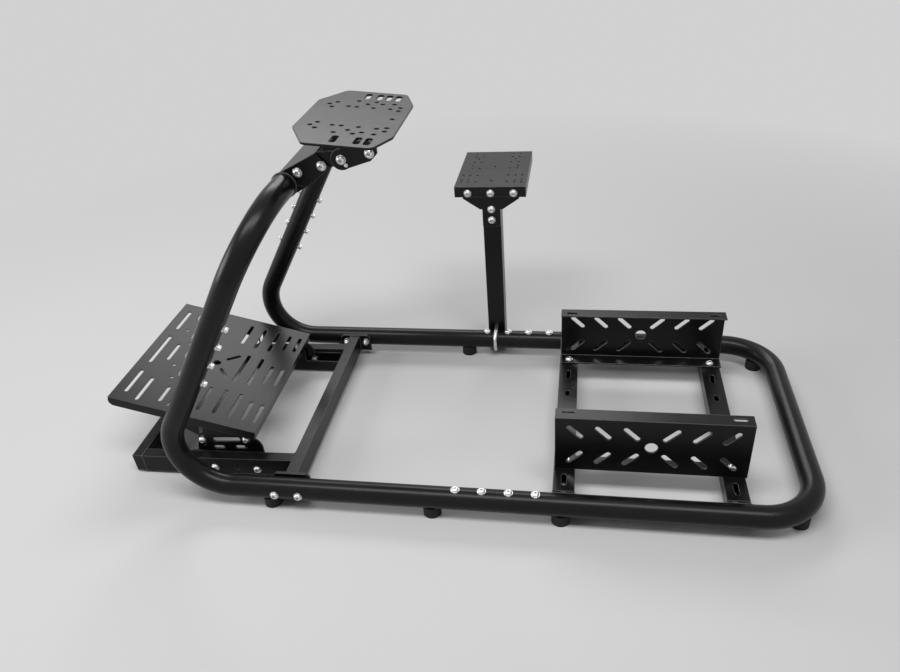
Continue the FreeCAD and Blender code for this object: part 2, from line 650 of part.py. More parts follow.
def seat_beam(x):
    """A seat beam, its ends cut to sit against the side tubes, with slots on top."""
    low = SEAT_BEAM_TOP - SEAT_BEAM_TALL
    half = SEAT_BEAM_WIDE / 2
    beam = rect_tube_y(x - half, x + half, low, SEAT_BEAM_TOP, SIDE_Y)
    for side in (-SIDE_Y, SIDE_Y):
        beam = beam.cut(Part.makeCylinder(OUTER_R, SEAT_BEAM_WIDE, vec(x - half, side, TUBE_AXIS_Z), X_AXIS))
        outside = box(x - half, x + half, side, side * (1 - OUTER_R / SIDE_Y), 0, SEAT_BEAM_TOP)
        beam = beam.cut(outside)
    for side in (-1, 1):
        for row in BEAM_SLOT_ROWS:
            beam = beam.cut(slot_z(x, side * row, *BEAM_SLOT, low, SEAT_BEAM_TOP))
        beam = beam.cut(slot_z(x, side * BEAM_SHORT_ROW, *BEAM_SHORT_SLOT, low, SEAT_BEAM_TOP))
        bolt_y = side * (BRACKET_Y - BRACKET_FOOT + BRACKET_BOLT_INSET)
        beam = beam.cut(Part.makeCylinder(M8_HOLE / 2, SEAT_BEAM_TALL, vec(x, bolt_y, low)))
    return beam


def seat_bracket():
    """The left seat bracket: a channel that opens inward, with slanted slots in its web."""
    x0, x1 = BRACKET_X
    y0 = -BRACKET_Y
    y1 = y0 + BRACKET_SHEET
    web = box(x0, x1, y0, y1, SEAT_BEAM_TOP, BRACKET_TOP)
    top = box(x0, x1, y0, y0 + BRACKET_FLANGE, BRACKET_TOP - BRACKET_SHEET, BRACKET_TOP)
    foot = box(x0, x1, y0, y0 + BRACKET_FOOT, SEAT_BEAM_TOP, SEAT_BEAM_TOP + BRACKET_SHEET)
    bracket = web.fuse([top, foot]).removeSplitter()
    cutters = [pin_y((x0 + x1) / 2, (SEAT_BEAM_TOP + BRACKET_TOP) / 2, WEB_HOLE_D, y0, y1)]
    for index, at in enumerate(WEB_SLOT_AT):
        leaning = WEB_SLOT_ANGLE if index < len(WEB_SLOT_AT) / 2 else -WEB_SLOT_ANGLE
        for row, sign in zip(WEB_ROWS, (-1, 1)):
            cutters.append(web_slot(x0 + at, SEAT_BEAM_TOP + row, y1, -sign * leaning))
    slot_y = y0 + BRACKET_FLANGE / 2 + FLANGE_SLOT_SHIFT
    for x in (x0 + FLANGE_SLOT_INSET, x1 - FLANGE_SLOT_INSET):
        cutters.append(slot_z(x, slot_y, *FLANGE_SLOT, BRACKET_TOP - BRACKET_SHEET, BRACKET_TOP, 0))
    bolt_y = y0 + BRACKET_FOOT - BRACKET_BOLT_INSET
    for x in SEAT_BEAM_X:
        cutters.append(Part.makeCylinder(M8_HOLE / 2, BRACKET_SHEET, vec(x, bolt_y, SEAT_BEAM_TOP)))
    return bracket.cut(cutters)


def web_slot(x, z, y1, angle):
    """A slanted slot cutter through the seat bracket's web."""
    cutter = slot_z(0, 0, *WEB_SLOT, 0, BRACKET_SHEET, angle)
    cutter.rotate(vec(0, 0, 0), X_AXIS, 90)
    cutter.translate(vec(x, y1, z))
    return cutter


def post_y():
    """The near face of the shifter post, which leans on the right side tube."""
    return SIDE_Y + OUTER_R


def shifter_post():
    half = POST_SIDE / 2
    y0 = post_y()
    post = box(POST_X - half, POST_X + half, y0, y0 + POST_SIDE, POST_LOW, POST_TOP)
    bore = box(POST_X - half + POST_WALL, POST_X + half - POST_WALL, y0 + POST_WALL,
               y0 + POST_SIDE - POST_WALL, POST_LOW, POST_TOP)
    post = post.cut(bore)
    for z in u_bolt_heights():
        post = post.cut(pin_y(POST_X, z, UBOLT_ROD, y0, y0 + POST_SIDE))
    return post.cut(post_bolt_holes(y0, y0 + POST_WALL))


def post_bolt_holes(y0, y1):
    """Cutters for the three bolts in line on the post's near face."""
    return [pin_y(POST_X, z, M8_HOLE, y0, y1) for z in (TEE_BOLT_Z, *POST_BOLTS)]


def arm_bolt_holes(y0, y1):
    """Cutters for the bolts between the tee bracket's arms and the shifter plate's near edge."""
    return [pin_y(POST_X + side * TEE_BOLT_PITCH, TEE_BOLT_Z, M8_HOLE, y0, y1) for side in (-1, 0, 1)]


def u_bolt_heights():
    """Heights of the U-bolt's two legs, just under and just over the tube."""
    gap = OUTER_R + UBOLT_ROD / 2
    return TUBE_AXIS_Z - gap, TUBE_AXIS_Z + gap


def u_bolt():
    """The round U-bolt that holds the post against the tube."""
    gap = OUTER_R + UBOLT_ROD / 2
    bend = UBOLT_BEND_SHARE * gap
    end_y = post_y() + POST_SIDE + UBOLT_TAIL
    low, high = u_bolt_heights()
    back_y = SIDE_Y - gap
    points = [vec(POST_X, end_y, low), vec(POST_X, back_y, low),
              vec(POST_X, back_y, high), vec(POST_X, end_y, high)]
    return swept(points, [bend, bend], UBOLT_ROD / 2)


def tee_bracket():
    """The flat tee plate between the post and the shifter plate."""
    y1 = post_y()
    half = POST_SIDE / 2
    right = [(TEE_HALF, TEE_TOP_Z), (TEE_HALF, TEE_WIDE_Z), (TEE_NARROW_HALF, TEE_NARROW_Z),
             (half, TEE_NARROW_Z), (half, TEE_LOW_Z)]
    left = [(-x, z) for x, z in reversed(right)]
    outline = [(POST_X + x, z) for x, z in right + left]
    cutters = post_bolt_holes(y1 - SHEET, y1) + arm_bolt_holes(y1 - SHEET, y1)
    return prism_y(outline, y1 - SHEET, y1).cut(cutters)


def shifter_plate():
    """The shifter plate with folded edges and two fields of holes."""
    x0, x1 = SHIFTER_X
    y0 = post_y() - SHEET - SHIFTER_SHEET
    y1 = y0 + SHIFTER_DEPTH
    low = SHIFTER_TOP - SHIFTER_LIP
    plate = box(x0, x1, y0, y1, low, SHIFTER_TOP)
    plate = plate.cut(box(x0 + SHIFTER_SHEET, x1 - SHIFTER_SHEET, y0 + SHIFTER_SHEET, y1 - SHIFTER_SHEET,
                          low, SHIFTER_TOP - SHIFTER_SHEET))
    middle = (x0 + x1) / 2
    at = [(side * x, y) for y, columns in SHIFTER_ROWS for x in columns for side in (-1, 1)]
    at += [(0, y) for y in SHIFTER_SINGLES]
    low = SHIFTER_TOP - SHIFTER_SHEET
    holes = [Part.makeCylinder(SHIFTER_HOLE / 2, SHIFTER_SHEET, vec(middle + x, y0 + y, low)) for x, y in at]
    return plate.cut(holes + arm_bolt_holes(y0, y0 + SHIFTER_SHEET))


def post_cap():
    """The block that closes the post and carries the shifter plate."""
    half = POST_SIDE / 2
    y0 = post_y()
    return box(POST_X - half, POST_X + half, y0, y0 + POST_SIDE, POST_TOP, SHIFTER_TOP - SHIFTER_SHEET)


def foot(x, y, top):
    return Part.makeCylinder(FOOT_D / 2, top, vec(x, y, 0))


def cupped_foot(x, y):
    """A rubber foot whose top is hollowed to seat under the side tube or the rear bend."""
    return foot(x, y, TUBE_LOW + FOOT_CUP).cut(loop_bar())


def loop_bar():
    """The solid outline of the whole floor loop."""
    points = [vec(FRONT_CORNER_X, -SIDE_Y, TUBE_AXIS_Z), vec(REAR_X, -SIDE_Y, TUBE_AXIS_Z),
              vec(REAR_X, SIDE_Y, TUBE_AXIS_Z), vec(FRONT_CORNER_X, SIDE_Y, TUBE_AXIS_Z)]
    return swept(points, [REAR_BEND, REAR_BEND], OUTER_R)


def side_feet():
    feet = [cupped_foot(x, side * SIDE_Y) for x in SIDE_FOOT_X for side in (-1, 1)]
    return Part.makeCompound(feet)


def corner_feet():
    """The two feet under the middle of the rear bends."""
    inset = REAR_BEND * (1 - math.cos(math.radians(45)))
    return Part.makeCompound([cupped_foot(REAR_X - inset, side * (SIDE_Y - inset)) for side in (-1, 1)])


def frame_feet():
    """Thin pads between the floor and the pedal frame's front bar."""
    y = PEDAL_FRAME_Y - FOOT_D / 2
    x = PEDAL_FRAME_X + BEAM_WIDE / 2
    pads = [Part.makeCylinder(PAD_D / 2, BEAM_LOW, vec(x, side * y, 0)) for side in (-1, 1)]
    return Part.makeCompound([pad.cut(front_bar_block()) for pad in pads])


def pair(shape, name):
    """Save a left piece and its mirror image."""
    save(shape, f"left_{name}")
    save(mirror(shape), f"right_{name}")


save(rear_loop(), "rear_loop_tube")
pair(front_tube(), "front_tube")
pair(upright_tube(), "upright_tube")
pair(side_sleeve(), "side_sleeve")
pair(upright_sleeve(), "upright_sleeve")
pair(crown_flange(), "crown_flange")
save(wheel_saddle(), "wheel_saddle")
save(spacers(DECK_PIVOT, DECK_CLAMP, CHEEK_Y, EAR_GAP), "wheel_spacers")
save(wheel_plate(), "wheel_plate")
pair(deck_ear(), "wheel_plate_ear")
save(front_beam(), "front_cross_beam")
save(beam_end_plates(), "beam_end_plates")
pair(frame_rail(), "pedal_frame_rail")
save(frame_front_bar(), "pedal_frame_front_bar")
pair(pedal_channel(), "pedal_channel")
save(spacers(PEDAL_PIVOT, PEDAL_CLAMP, PEDAL_SHEET - channel_y() - CHANNEL_WIDE, PEDAL_GAP), "pedal_spacers")
save(pedal_plate(), "pedal_plate")
pair(pedal_ear(), "pedal_ear")
save(seat_beam(SEAT_BEAM_X[0]), "front_seat_beam")
save(seat_beam(SEAT_BEAM_X[1]), "rear_seat_beam")
pair(seat_bracket(), "seat_bracket")
save(shifter_post(), "shifter_post")
save(post_cap(), "shifter_post_cap")
save(u_bolt(), "shifter_u_bolt")
save(tee_bracket(), "shifter_tee_bracket")
save(shifter_plate(), "shifter_plate")
save(side_feet(), "side_feet")
save(corner_feet(), "corner_feet")
save(frame_feet(), "pedal_frame_feet")
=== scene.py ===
import json
import math

import bmesh
import bpy
from mathutils import Matrix, Vector


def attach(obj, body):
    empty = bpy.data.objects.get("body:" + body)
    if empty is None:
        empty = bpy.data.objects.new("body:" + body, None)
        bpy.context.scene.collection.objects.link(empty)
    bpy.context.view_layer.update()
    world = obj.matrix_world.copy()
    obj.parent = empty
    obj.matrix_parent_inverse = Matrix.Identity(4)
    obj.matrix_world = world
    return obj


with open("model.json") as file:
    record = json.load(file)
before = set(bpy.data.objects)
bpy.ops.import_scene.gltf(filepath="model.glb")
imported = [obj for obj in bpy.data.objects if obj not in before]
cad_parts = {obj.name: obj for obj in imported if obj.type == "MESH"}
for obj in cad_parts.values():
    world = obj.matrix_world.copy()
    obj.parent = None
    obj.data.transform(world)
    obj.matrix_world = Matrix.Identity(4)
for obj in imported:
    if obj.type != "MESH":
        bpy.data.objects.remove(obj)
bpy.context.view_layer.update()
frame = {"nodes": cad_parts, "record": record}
nodes = frame["nodes"]

# ---------------------------------------------------------------- materials

MIX_FIRST, MIX_SECOND, MIX_RESULT = 6, 7, 2  # the colour sockets of a Mix node
NOISE_ROUGHNESS = 0.55
BEVEL_SAMPLES = 4
CREVICE_SAMPLES = 8
EDGE_FLAT, EDGE_FULL = 0.99, 0.86            # cosines between rounded and flat normal
CREVICE_SHUT, CREVICE_OPEN = 0.35, 0.85      # shares of open sky


class Tree:
    """A material with its shader and short calls that add the nodes behind it."""

    def __init__(self, name):
        self.material = bpy.data.materials.new(name)
        self.material.use_nodes = True
        self.tree = self.material.node_tree
        self.tree.nodes.clear()
        self.shader = self.add("ShaderNodeBsdfPrincipled")
        output = self.add("ShaderNodeOutputMaterial")
        self.link(self.shader.outputs["BSDF"], output.inputs["Surface"])
        self.place = self.add("ShaderNodeTexCoord").outputs["Object"]

    def add(self, kind, **values):
        """A new node of a kind, with some of its own values set."""
        node = self.tree.nodes.new(kind)
        for key, value in values.items():
            setattr(node, key, value)
        return node

    def link(self, source, target):
        self.tree.links.new(source, target)

    def set(self, **values):
        """Constant values on the shader's own sockets, such as Metallic=1.0."""
        for key, value in values.items():
            self.shader.inputs[key.replace("_", " ")].default_value = value

    def feed(self, socket, value):
        """Links a value that changes over the surface to one of the shader's own sockets."""
        self.link(value, self.shader.inputs[socket])

    def noise(self, scale, detail):
        """Noise from 0 to 1 over the object's own coordinates, scale being in waves a metre."""
        node = self.add("ShaderNodeTexNoise")
        node.inputs["Scale"].default_value = scale
        node.inputs["Detail"].default_value = detail
        node.inputs["Roughness"].default_value = NOISE_ROUGHNESS
        self.link(self.place, node.inputs["Vector"])
        return node.outputs["Fac"]

    def remap(self, value, low, high, to_low, to_high):
        """Takes a value from one range to another and holds it inside that one."""
        node = self.add("ShaderNodeMapRange")
        sockets = ("From Min", "From Max", "To Min", "To Max")
        for key, number in zip(sockets, (low, high, to_low, to_high)):
            node.inputs[key].default_value = number
        self.link(value, node.inputs["Value"])
        return node.outputs["Result"]

    def maths(self, operation, first, second):
        """An operation on two values, each of them a number or a node's output."""
        node = self.add("ShaderNodeMath", operation=operation)
        for socket, value in zip(node.inputs, (first, second)):
            if isinstance(value, (int, float)):
                socket.default_value = value
            else:
                self.link(value, socket)
        return node.outputs["Value"]

    def colours(self, factor, first, second):
        """Goes from the first colour to the second as the factor goes from 0 to 1."""
        node = self.add("ShaderNodeMix", data_type="RGBA")
        for index, value in ((MIX_FIRST, first), (MIX_SECOND, second)):
            if isinstance(value, tuple):
                node.inputs[index].default_value = (*value, 1.0)
            else:
                self.link(value, node.inputs[index])
        self.link(factor, node.inputs["Factor"])
        return node.outputs[MIX_RESULT]

    def edges(self, radius):
        """Rounded edge normals, and a mask that is 1 on the edges and 0 on flat faces."""
        bevel = self.add("ShaderNodeBevel", samples=BEVEL_SAMPLES)
        bevel.inputs["Radius"].default_value = radius
        dot = self.add("ShaderNodeVectorMath", operation="DOT_PRODUCT")
        self.link(bevel.outputs["Normal"], dot.inputs[0])
        self.link(self.add("ShaderNodeNewGeometry").outputs["True Normal"], dot.inputs[1])
        mask = self.remap(dot.outputs["Value"], EDGE_FLAT, EDGE_FULL, 0.0, 1.0)
        return bevel.outputs["Normal"], mask

    def crevice_shade(self, distance):
        """A value that falls from 1 on open faces towards 0 in sockets and gaps, where it paints
        shade.
        """
        node = self.add("ShaderNodeAmbientOcclusion", samples=CREVICE_SAMPLES)
        node.inputs["Distance"].default_value = distance
        return self.remap(node.outputs["AO"], CREVICE_SHUT, CREVICE_OPEN, 0.0, 1.0)

    def bump(self, height, strength, distance, normal):
        """Gives the shader a normal that a height value roughens, on top of another normal."""
        node = self.add("ShaderNodeBump")
        node.inputs["Strength"].default_value = strength
        node.inputs["Distance"].default_value = distance
        self.link(height, node.inputs["Height"])
        self.link(normal, node.inputs["Normal"])
        self.feed("Normal", node.outputs["Normal"])


def powder_coat(name, wear_and_highlight):
    """Fine textured black powder coat, paler and smoother along its edges by the share given: the
    pale edge is wear and a painted highlight.
    """
    deep, soft = (0.0040, 0.0040, 0.0045), (0.0070, 0.0070, 0.0078)
    fleck, worn_and_highlit = (0.022, 0.022, 0.024), (0.28, 0.28, 0.285)
    m = Tree(name)
    m.set(IOR=1.5, Specular_IOR_Level=0.22)
    normal, edge = m.edges(0.002)
    cloud = m.noise(14.0, 4.0)
    grain = m.noise(1500.0, 2.0)
    body = m.colours(m.remap(cloud, 0.3, 0.7, 0.0, 1.0), deep, soft)
    flecked = m.colours(m.remap(grain, 0.62, 0.78, 0.0, 0.5), body, fleck)
    # painted highlight: the base colour goes pale along the rounded edges, partly as wear
    m.feed("Base Color", m.colours(m.maths("MULTIPLY", edge, wear_and_highlight), flecked, worn_and_highlit))
    clouded = m.remap(cloud, 0.25, 0.75, 0.27, 0.295)
    rough = m.maths("ADD", clouded, m.remap(grain, 0.3, 0.7, -0.03, 0.04))
    m.feed("Roughness", m.maths("SUBTRACT", rough, m.maths("MULTIPLY", edge, 0.08)))
    m.bump(grain, 0.05, 0.0004, normal)
    return m.material


def zinc():
    """Bright zinc plate with faint blotches, fine tool marks and painted shade in its sockets."""
    pale, dull = (0.82, 0.83, 0.85), (0.70, 0.71, 0.73)
    paler_edge, painted_shade = (0.88, 0.88, 0.89), (0.035, 0.035, 0.037)
    m = Tree("zinc_steel")
    m.set(Metallic=1.0)
    normal, edge = m.edges(0.0004)
    blotch = m.noise(320.0, 4.0)
    marks = m.noise(2600.0, 2.0)
    tone = m.colours(m.remap(blotch, 0.35, 0.7, 0.0, 1.0), pale, dull)
    # paler along the edges
    bright = m.colours(m.maths("MULTIPLY", edge, 0.4), tone, paler_edge)
    # painted shade: the colour falls to near black in sockets and gaps, by ambient occlusion
    m.feed("Base Color", m.colours(m.crevice_shade(0.003), painted_shade, bright))
    m.feed("Roughness", m.remap(blotch, 0.3, 0.7, 0.26, 0.37))
    m.bump(marks, 0.10, 0.00015, normal)
    return m.material


def rubber():
    """Dull moulded rubber with a fine tooth and a little grey dust."""
    clean, dusty, paler_edge = (0.014, 0.014, 0.015), (0.034, 0.033, 0.032), (0.045, 0.045, 0.045)
    m = Tree("foot_rubber")
    m.set(IOR=1.48, Specular_IOR_Level=0.3)
    normal, edge = m.edges(0.0012)
    tooth = m.noise(900.0, 3.0)
    dust = m.noise(60.0, 5.0)
    tone = m.colours(m.remap(dust, 0.5, 0.75, 0.0, 0.6), clean, dusty)
    # paler along the edges
    m.feed("Base Color", m.colours(m.maths("MULTIPLY", edge, 0.3), tone, paler_edge))
    m.feed("Roughness", m.remap(tooth, 0.3, 0.7, 0.62, 0.80))
    m.bump(tooth, 0.25, 0.0005, normal)
    return m.material


def plastic():
    """Black moulded plastic with a spark-eroded grain."""
    deep, soft, paler_edge = (0.017, 0.017, 0.018), (0.026, 0.026, 0.027), (0.05, 0.05, 0.05)
    m = Tree("black_plastic")
    m.set(IOR=1.46, Specular_IOR_Level=0.4)
    normal, edge = m.edges(0.0008)
    grain = m.noise(2200.0, 2.0)
    cloud = m.noise(25.0, 3.0)
    tone = m.colours(m.remap(cloud, 0.3, 0.7, 0.0, 1.0), deep, soft)
    # paler along the edges
    m.feed("Base Color", m.colours(m.maths("MULTIPLY", edge, 0.25), tone, paler_edge))
    m.feed("Roughness", m.remap(grain, 0.3, 0.7, 0.46, 0.58))
    m.bump(grain, 0.2, 0.0003, normal)
    return m.material


# the second value is the share of painted edge highlight and wear along the coat's edges
COAT = powder_coat("black_powder_coat", 0.75)
EVEN_COAT = powder_coat("even_powder_coat", 0.08)  # no pale line at tube seams and hole rims
EVENLY_COATED = ("_tube", "wheel_plate")
ZINC = zinc()
BY_SLOT = {"black_powder_coat": COAT, "zinc_steel": ZINC, "foot_rubber": rubber(),
           "black_plastic": plastic()}

for part in frame["record"]["subparts"]:
    even = part["node"].endswith(EVENLY_COATED)
    mesh = nodes[part["node"]].data
    mesh.materials.clear()
    mesh.materials.append(EVEN_COAT if even else BY_SLOT[part["material_slot"]])

# ---------------------------------------------------------------- turned forms and pieces
# Lengths are in mm here, as in the part's source; MM takes them to the frame's metres.

MM = 0.001
STEPS = 24
ROUND = "round"
HEX = "hex"
HEX_SECTOR = math.radians(60)
SMOOTH_BELOW = 35.0


def angles(count):
    """Evenly spaced angles once round a circle."""
    return [2 * math.pi * step / count for step in range(count)]


def basis(axis, turn=0.0):
    """Two unit vectors square to the axis, turned about it by an angle in degrees, and the axis."""
    axis = Vector(axis).normalized()
    side = Vector((0, 0, 1)) if abs(axis.z) < 0.9 else Vector((1, 0, 0))
    first = side.cross(axis).normalized()
    first.rotate(Matrix.Rotation(math.radians(turn), 3, axis))
    return first, axis.cross(first), axis


def spoke(first, second, angle):
    """The unit vector at an angle from the first of two vectors towards the second."""
    return first * math.cos(angle) + second * math.sin(angle)


def ring_radius(shape, size, angle):
    """Distance to a round outline, or to a hexagon of that half width across its flats."""
    if shape == ROUND:
        return size
    return size / math.cos((angle % HEX_SECTOR) - HEX_SECTOR / 2)


def turned(mesh, at, axis, rings, turn):
    """Adds a turned form: rings of (outline, size, height) along the axis, closed at both ends."""
    first, second, along = basis(axis, turn)
    at = Vector(at)
    loops = []
    for shape, size, height in rings:
        centre = (at + along * height) * MM
        loops.append([mesh.verts.new(centre + spoke(first, second, angle)
                                     * (ring_radius(shape, size, angle) * MM))
                      for angle in angles(STEPS)])
    for low, high in zip(loops, loops[1:]):
        for step in range(STEPS):
            following = (step + 1) % STEPS
            mesh.faces.new((low[step], low[following], high[following], high[step]))
    mesh.faces.new(list(reversed(loops[0])))
    mesh.faces.new(loops[-1])


def piece(name, mesh, material, body="frame", smooth=SMOOTH_BELOW):
    """Turns a finished mesh into a named piece on its body."""
    bmesh.ops.recalc_face_normals(mesh, faces=mesh.faces)
    data = bpy.data.meshes.new(name)
    mesh.to_mesh(data)
    mesh.free()
    data.materials.append(material)
    data.set_sharp_from_angle(angle=math.radians(smooth))
    thing = bpy.data.objects.new(name, data)
    bpy.context.scene.collection.objects.link(thing)
    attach(thing, body)


# ---------------------------------------------------------------- bolts, nuts and washers
# Each profile is a row of rings (outline, radius or half width across flats, height above the
# face), from the face outwards and back into the socket.

BUTTON_HEAD = [(ROUND, 6.6, 1.4), (ROUND, 7.0, 1.8), (ROUND, 6.9, 2.6), (ROUND, 6.2, 4.0),
               (ROUND, 5.0, 5.0), (ROUND, 3.8, 5.5), (HEX, 2.8, 5.4), (HEX, 2.55, 5.1),
               (HEX, 2.5, 1.9), (ROUND, 0.6, 1.3)]
CAP_HEAD = [(ROUND, 4.9, 1.2), (ROUND, 5.2, 1.6), (ROUND, 5.2, 7.6), (ROUND, 4.6, 8.2),
            (ROUND, 3.4, 8.2), (HEX, 2.6, 8.1), (HEX, 2.5, 7.9), (HEX, 2.5, 5.0),
            (ROUND, 0.5, 4.6)]
LOCK_NUT = [(ROUND, 6.3, 1.4), (HEX, 6.45, 1.9), (HEX, 6.5, 2.2), (HEX, 6.5, 7.0),
            (HEX, 6.4, 7.4), (ROUND, 6.1, 7.8), (ROUND, 5.6, 9.2), (ROUND, 5.0, 9.6),
            (ROUND, 4.2, 9.5)]
THIN_NUT = [(ROUND, 6.1, 0.9), (HEX, 6.45, 1.3), (HEX, 6.5, 1.6), (HEX, 6.5, 5.0),
            (ROUND, 6.1, 5.6), (ROUND, 4.6, 5.6), (ROUND, 4.1, 5.2)]
SMALL_NUT = [(ROUND, 4.9, 1.1), (HEX, 4.95, 1.5), (HEX, 5.0, 4.0), (ROUND, 4.6, 4.5)]
INSERT = [(ROUND, 6.0, -1.6), (ROUND, 6.0, 0.1), (ROUND, 5.4, 0.5), (ROUND, 4.3, 0.5),
          (ROUND, 4.0, -0.4), (HEX, 2.2, -0.5), (HEX, 2.1, -1.4)]
STUD = [(ROUND, 3.4, 0.0), (ROUND, 3.4, 0.8), (ROUND, 2.7, 1.1), (ROUND, 2.5, 2.6),
        (ROUND, 1.7, 3.3)]
# Washers are (outer radius, thickness).
BUTTON_WASHER, CAP_WASHER, LOCK_WASHER = (8.4, 1.5), (6.8, 1.3), (8.2, 1.5)
THIN_WASHER, SMALL_WASHER = (7.6, 1.0), (7.4, 1.2)
WASHER_EASE = 0.3
SMALL_WASHER_DROP = -1.6
BOLT, THIN_BOLT = (3.95, 1.25), (2.95, 1.0)  # radius and pitch of the thread
THREAD_DEPTH = 0.55
THREAD_PLAIN = 1.0                           # the thread's end that has no ridge
CHAMFER = ((0.2, 0.9), (1.1, 0.0))           # in from the radius, back from the end
TURN_EACH, TURN_MOST = 37, 60                # degrees; neighbours stop at different turns


def washer(size, low=0.0):
    """A flat washer's rings with eased edges, from low up to its thickness."""
    outer, thick = size
    inner = outer - WASHER_EASE
    return [(ROUND, inner, low), (ROUND, outer, low + WASHER_EASE),
            (ROUND, outer, thick - WASHER_EASE), (ROUND, inner, thick)]


def thread(bolt, start, length):
    """The rings of a threaded end: ridges one pitch apart, then a chamfer."""
    radius, pitch = bolt
    rings = [(ROUND, radius, start)]
    height = start
    while height + pitch < start + length - THREAD_PLAIN:
        rings += [(ROUND, radius - THREAD_DEPTH, height + pitch / 2),
                  (ROUND, radius, height + pitch)]
        height += pitch
    return rings + [(ROUND, radius - inward, start + length - back) for inward, back in CHAMFER]


def button_bolt(mesh, at, axis, turn, low=0.0):
    """A button head bolt on a plain washer; low sinks the washer into a curved face."""
    turned(mesh, at, axis, washer(BUTTON_WASHER, low), turn)
    turned(mesh, at, axis, BUTTON_HEAD, turn)


def cap_bolt(mesh, at, axis, turn, low=0.0):
    """A narrow, tall bolt head with a hexagon socket on a small washer."""
    turned(mesh, at, axis, washer(CAP_WASHER, low), turn)
    turned(mesh, at, axis, CAP_HEAD, turn)


def lock_nut(mesh, at, axis, turn, tail=3.0):
    """A lock nut with its collar on a washer, and the bolt's threaded end standing out of it."""
    turned(mesh, at, axis, washer(LOCK_WASHER), turn)
    turned(mesh, at, axis, LOCK_NUT, turn)
    turned(mesh, at, axis, thread(BOLT, start=8.5, length=1.0 + tail), turn)


def thin_nut(mesh, at, axis, turn):
    """A low nut on a thin washer, with the bolt's end just past it."""
    turned(mesh, at, axis, washer(THIN_WASHER), turn)
    turned(mesh, at, axis, THIN_NUT, turn)
    turned(mesh, at, axis, thread(BOLT, start=5.0, length=1.2), turn)


def small_nut(mesh, at, axis, turn):
    """A small nut on a washer sunk into the round tube, with its bolt's threaded end."""
    turned(mesh, at, axis, washer(SMALL_WASHER, SMALL_WASHER_DROP), turn)
    turned(mesh, at, axis, SMALL_NUT, turn)
    turned(mesh, at, axis, thread(THIN_BOLT, start=4.0, length=2.6), turn)


def flush_insert(mesh, at, axis, turn):
    """The thin rim of a threaded insert, closed by a set screw with a hexagon socket."""
    turned(mesh, at, axis, INSERT, turn)


def stud(mesh, at, axis, turn):
    """The small domed stud beside a pivot bolt."""
    turned(mesh, at, axis, STUD, turn)


def fasteners(name, items, body="frame"):
    """One piece made of bolts and nuts, from (maker, place, axis, further values)."""
    mesh = bmesh.new()
    for index, (maker, at, axis, values) in enumerate(items):
        maker(mesh, at, axis, turn=(index * TURN_EACH) % TURN_MOST, **values)
    piece(name, mesh, ZINC, body)


SIDES = ((-1, "left"), (1, "right"))
TUBE_R = 21.0
TUBE_Z = 40.0
SIDE_Y = 266.0
LEAN = math.radians(30.7)
LEANING = Vector((math.sin(LEAN), 0, math.cos(LEAN)))  # up along an upright
ACROSS = Vector((math.cos(LEAN), 0, -math.sin(LEAN)))  # square to it, towards the seat
FRONT_CORNER_X = -582.4
SPLICE_Z = 356.0
UPRIGHT_BOLTS = (-67.5, -20.9, 24.4, 67.5)             # along the upright from the splice
TUBE_BOLTS_X = (25.0, 74.0, 123.0, 172.0)
SADDLE_DROP = -1.9                                     # of a washer's rim on the round tube

CROSS_BEAM_BOLTS_X = (-322.0, -275.0)
CROSS_BEAM_END_Y = 240.0

FLANGE_BOLTS = ((-229.0, 610.0), (-185.0, 621.0))      # pairs of x and z, here and below
DECK_BOLTS = ((-148.0, 633.0), (-99.0, 643.0))
FLANGE_HEADS_Y, DECK_HEADS_Y, MOUNT_NUTS_Y = 99.0, 104.0, 91.0
STUD_X, STUD_Z = -140.9, 623.4

PEDAL_BOLTS = ((-416.0, 74.0), (-512.0, 68.2))
PEDAL_HEADS_Y, PEDAL_NUTS_Y = 173.7, 162.7

RAIL_OUT_Y, RAIL_NUTS_Y = 206.7, 181.2
RAIL_BOLT_Z = 26.3
RAIL_BOLTS = ((-480.0, thin_nut, {}), (-389.5, lock_nut, {"tail": 0.5}))

SEAT_BEAMS_X = (221.0, 525.0)
SEAT_BEAM_LOW_Z = 29.4
BRACKET_BOLTS_Y, BRACKET_HEADS_Z = 164.7, 57.4

POST_X = 45.0
TEE_HEADS_Y, TEE_BOLTS_Z, TEE_BOLTS_SHIFT = 280.0, 410.0, (-50.0, 0.0, 50.0)
POST_HEADS_Y, POST_BOLTS_Z = 283.0, (371.0, 345.5)
CLAMP_NUTS_Y, CLAMP_NUTS_Z = 327.0, (15.0, 65.0)
UP, DOWN, TO_LEFT, TO_RIGHT = (0, 0, 1), (0, 0, -1), (0, -1, 0), (0, 1, 0)


def on_upright(z, y):
    """The point at height z of the centre line that an upright has before its crown bend."""
    return Vector((FRONT_CORNER_X + (z - TUBE_Z) * math.tan(LEAN), y, z))


def cross_bolts(side, places, head_y, nut_y, nut=lock_nut, low=0.0, **values):
    """Sideways bolts at places (x, z), with the heads outside at head_y and nuts at nut_y."""
    out = Vector((0, side, 0))
    items = []
    for x, z in places:
        items.append((button_bolt, (x, side * head_y, z), out, {"low": low}))
        items.append((nut, (x, side * nut_y, z), -out, values))
    return items


